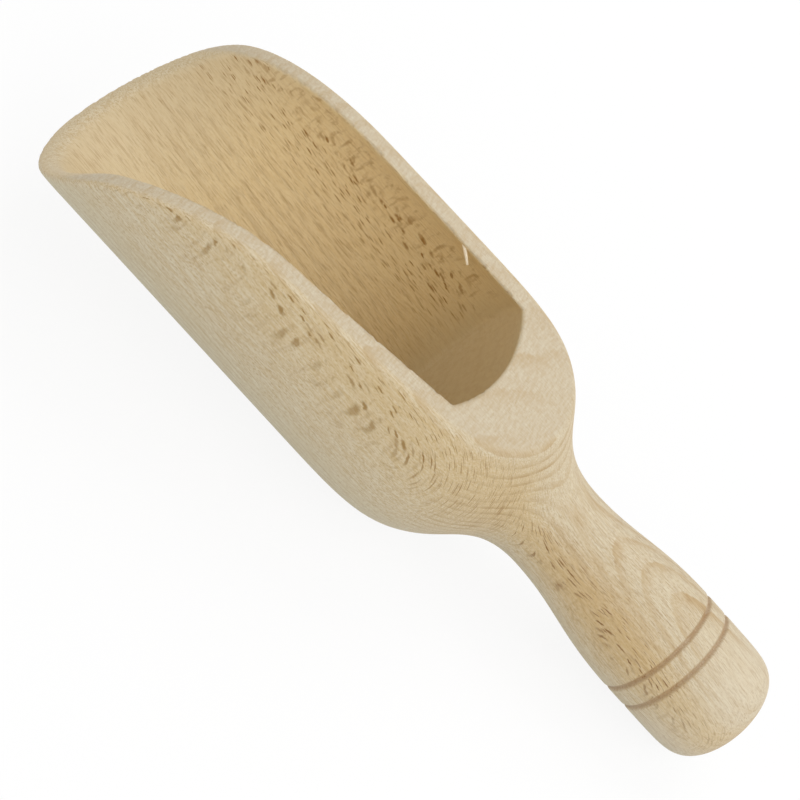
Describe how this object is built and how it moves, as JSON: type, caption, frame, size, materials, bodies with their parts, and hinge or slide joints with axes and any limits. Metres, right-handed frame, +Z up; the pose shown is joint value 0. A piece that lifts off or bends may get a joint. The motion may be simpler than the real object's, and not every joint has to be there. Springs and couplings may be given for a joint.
{
  "type": "flour scoop",
  "caption": "Turned beech flour scoop: a round bowl cut open along a long slope to a thin rounded lip, a waisted neck and a plump grip with turned lines.",
  "frame": {"origin": "on the table under the middle of the part's box, with the scoop lying on its shoulder and its grip", "axes": "+X from the lip towards the handle's end, along the table; +Z up, out of the bowl's open side; the part is symmetric about the XZ plane"},
  "size_m": [0.233, 0.0712, 0.0615],
  "materials": {
    "beech": "sanded, unvarnished"
  },
  "bodies": {
    "root": {"scoop": "beech"}
  },
  "joints": []
}
